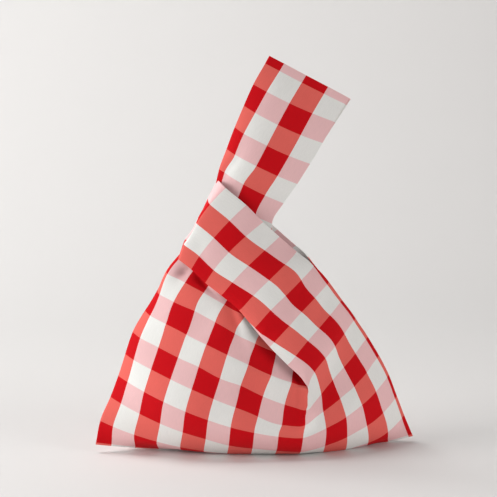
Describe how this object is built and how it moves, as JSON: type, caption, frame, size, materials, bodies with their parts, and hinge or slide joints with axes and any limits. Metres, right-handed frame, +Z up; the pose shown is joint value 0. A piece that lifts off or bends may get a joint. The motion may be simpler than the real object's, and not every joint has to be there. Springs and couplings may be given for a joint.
{
  "type": "knot bag",
  "caption": "Soft gingham knot bag with its short handle wrapped round the long upright one, standing on its base.",
  "frame": {"origin": "on the surface the bag stands on, under the middle of its bounding box", "axes": "+Z up, +X to the bag's right as seen from the front, +Y from front to back"},
  "size_m": [0.3382, 0.1222, 0.4121],
  "materials": {
    "cloth": "smooth matt woven cloth in red and white gingham"
  },
  "bodies": {
    "root": {"front_panel": "cloth", "back_panel": "cloth"}
  },
  "joints": []
}
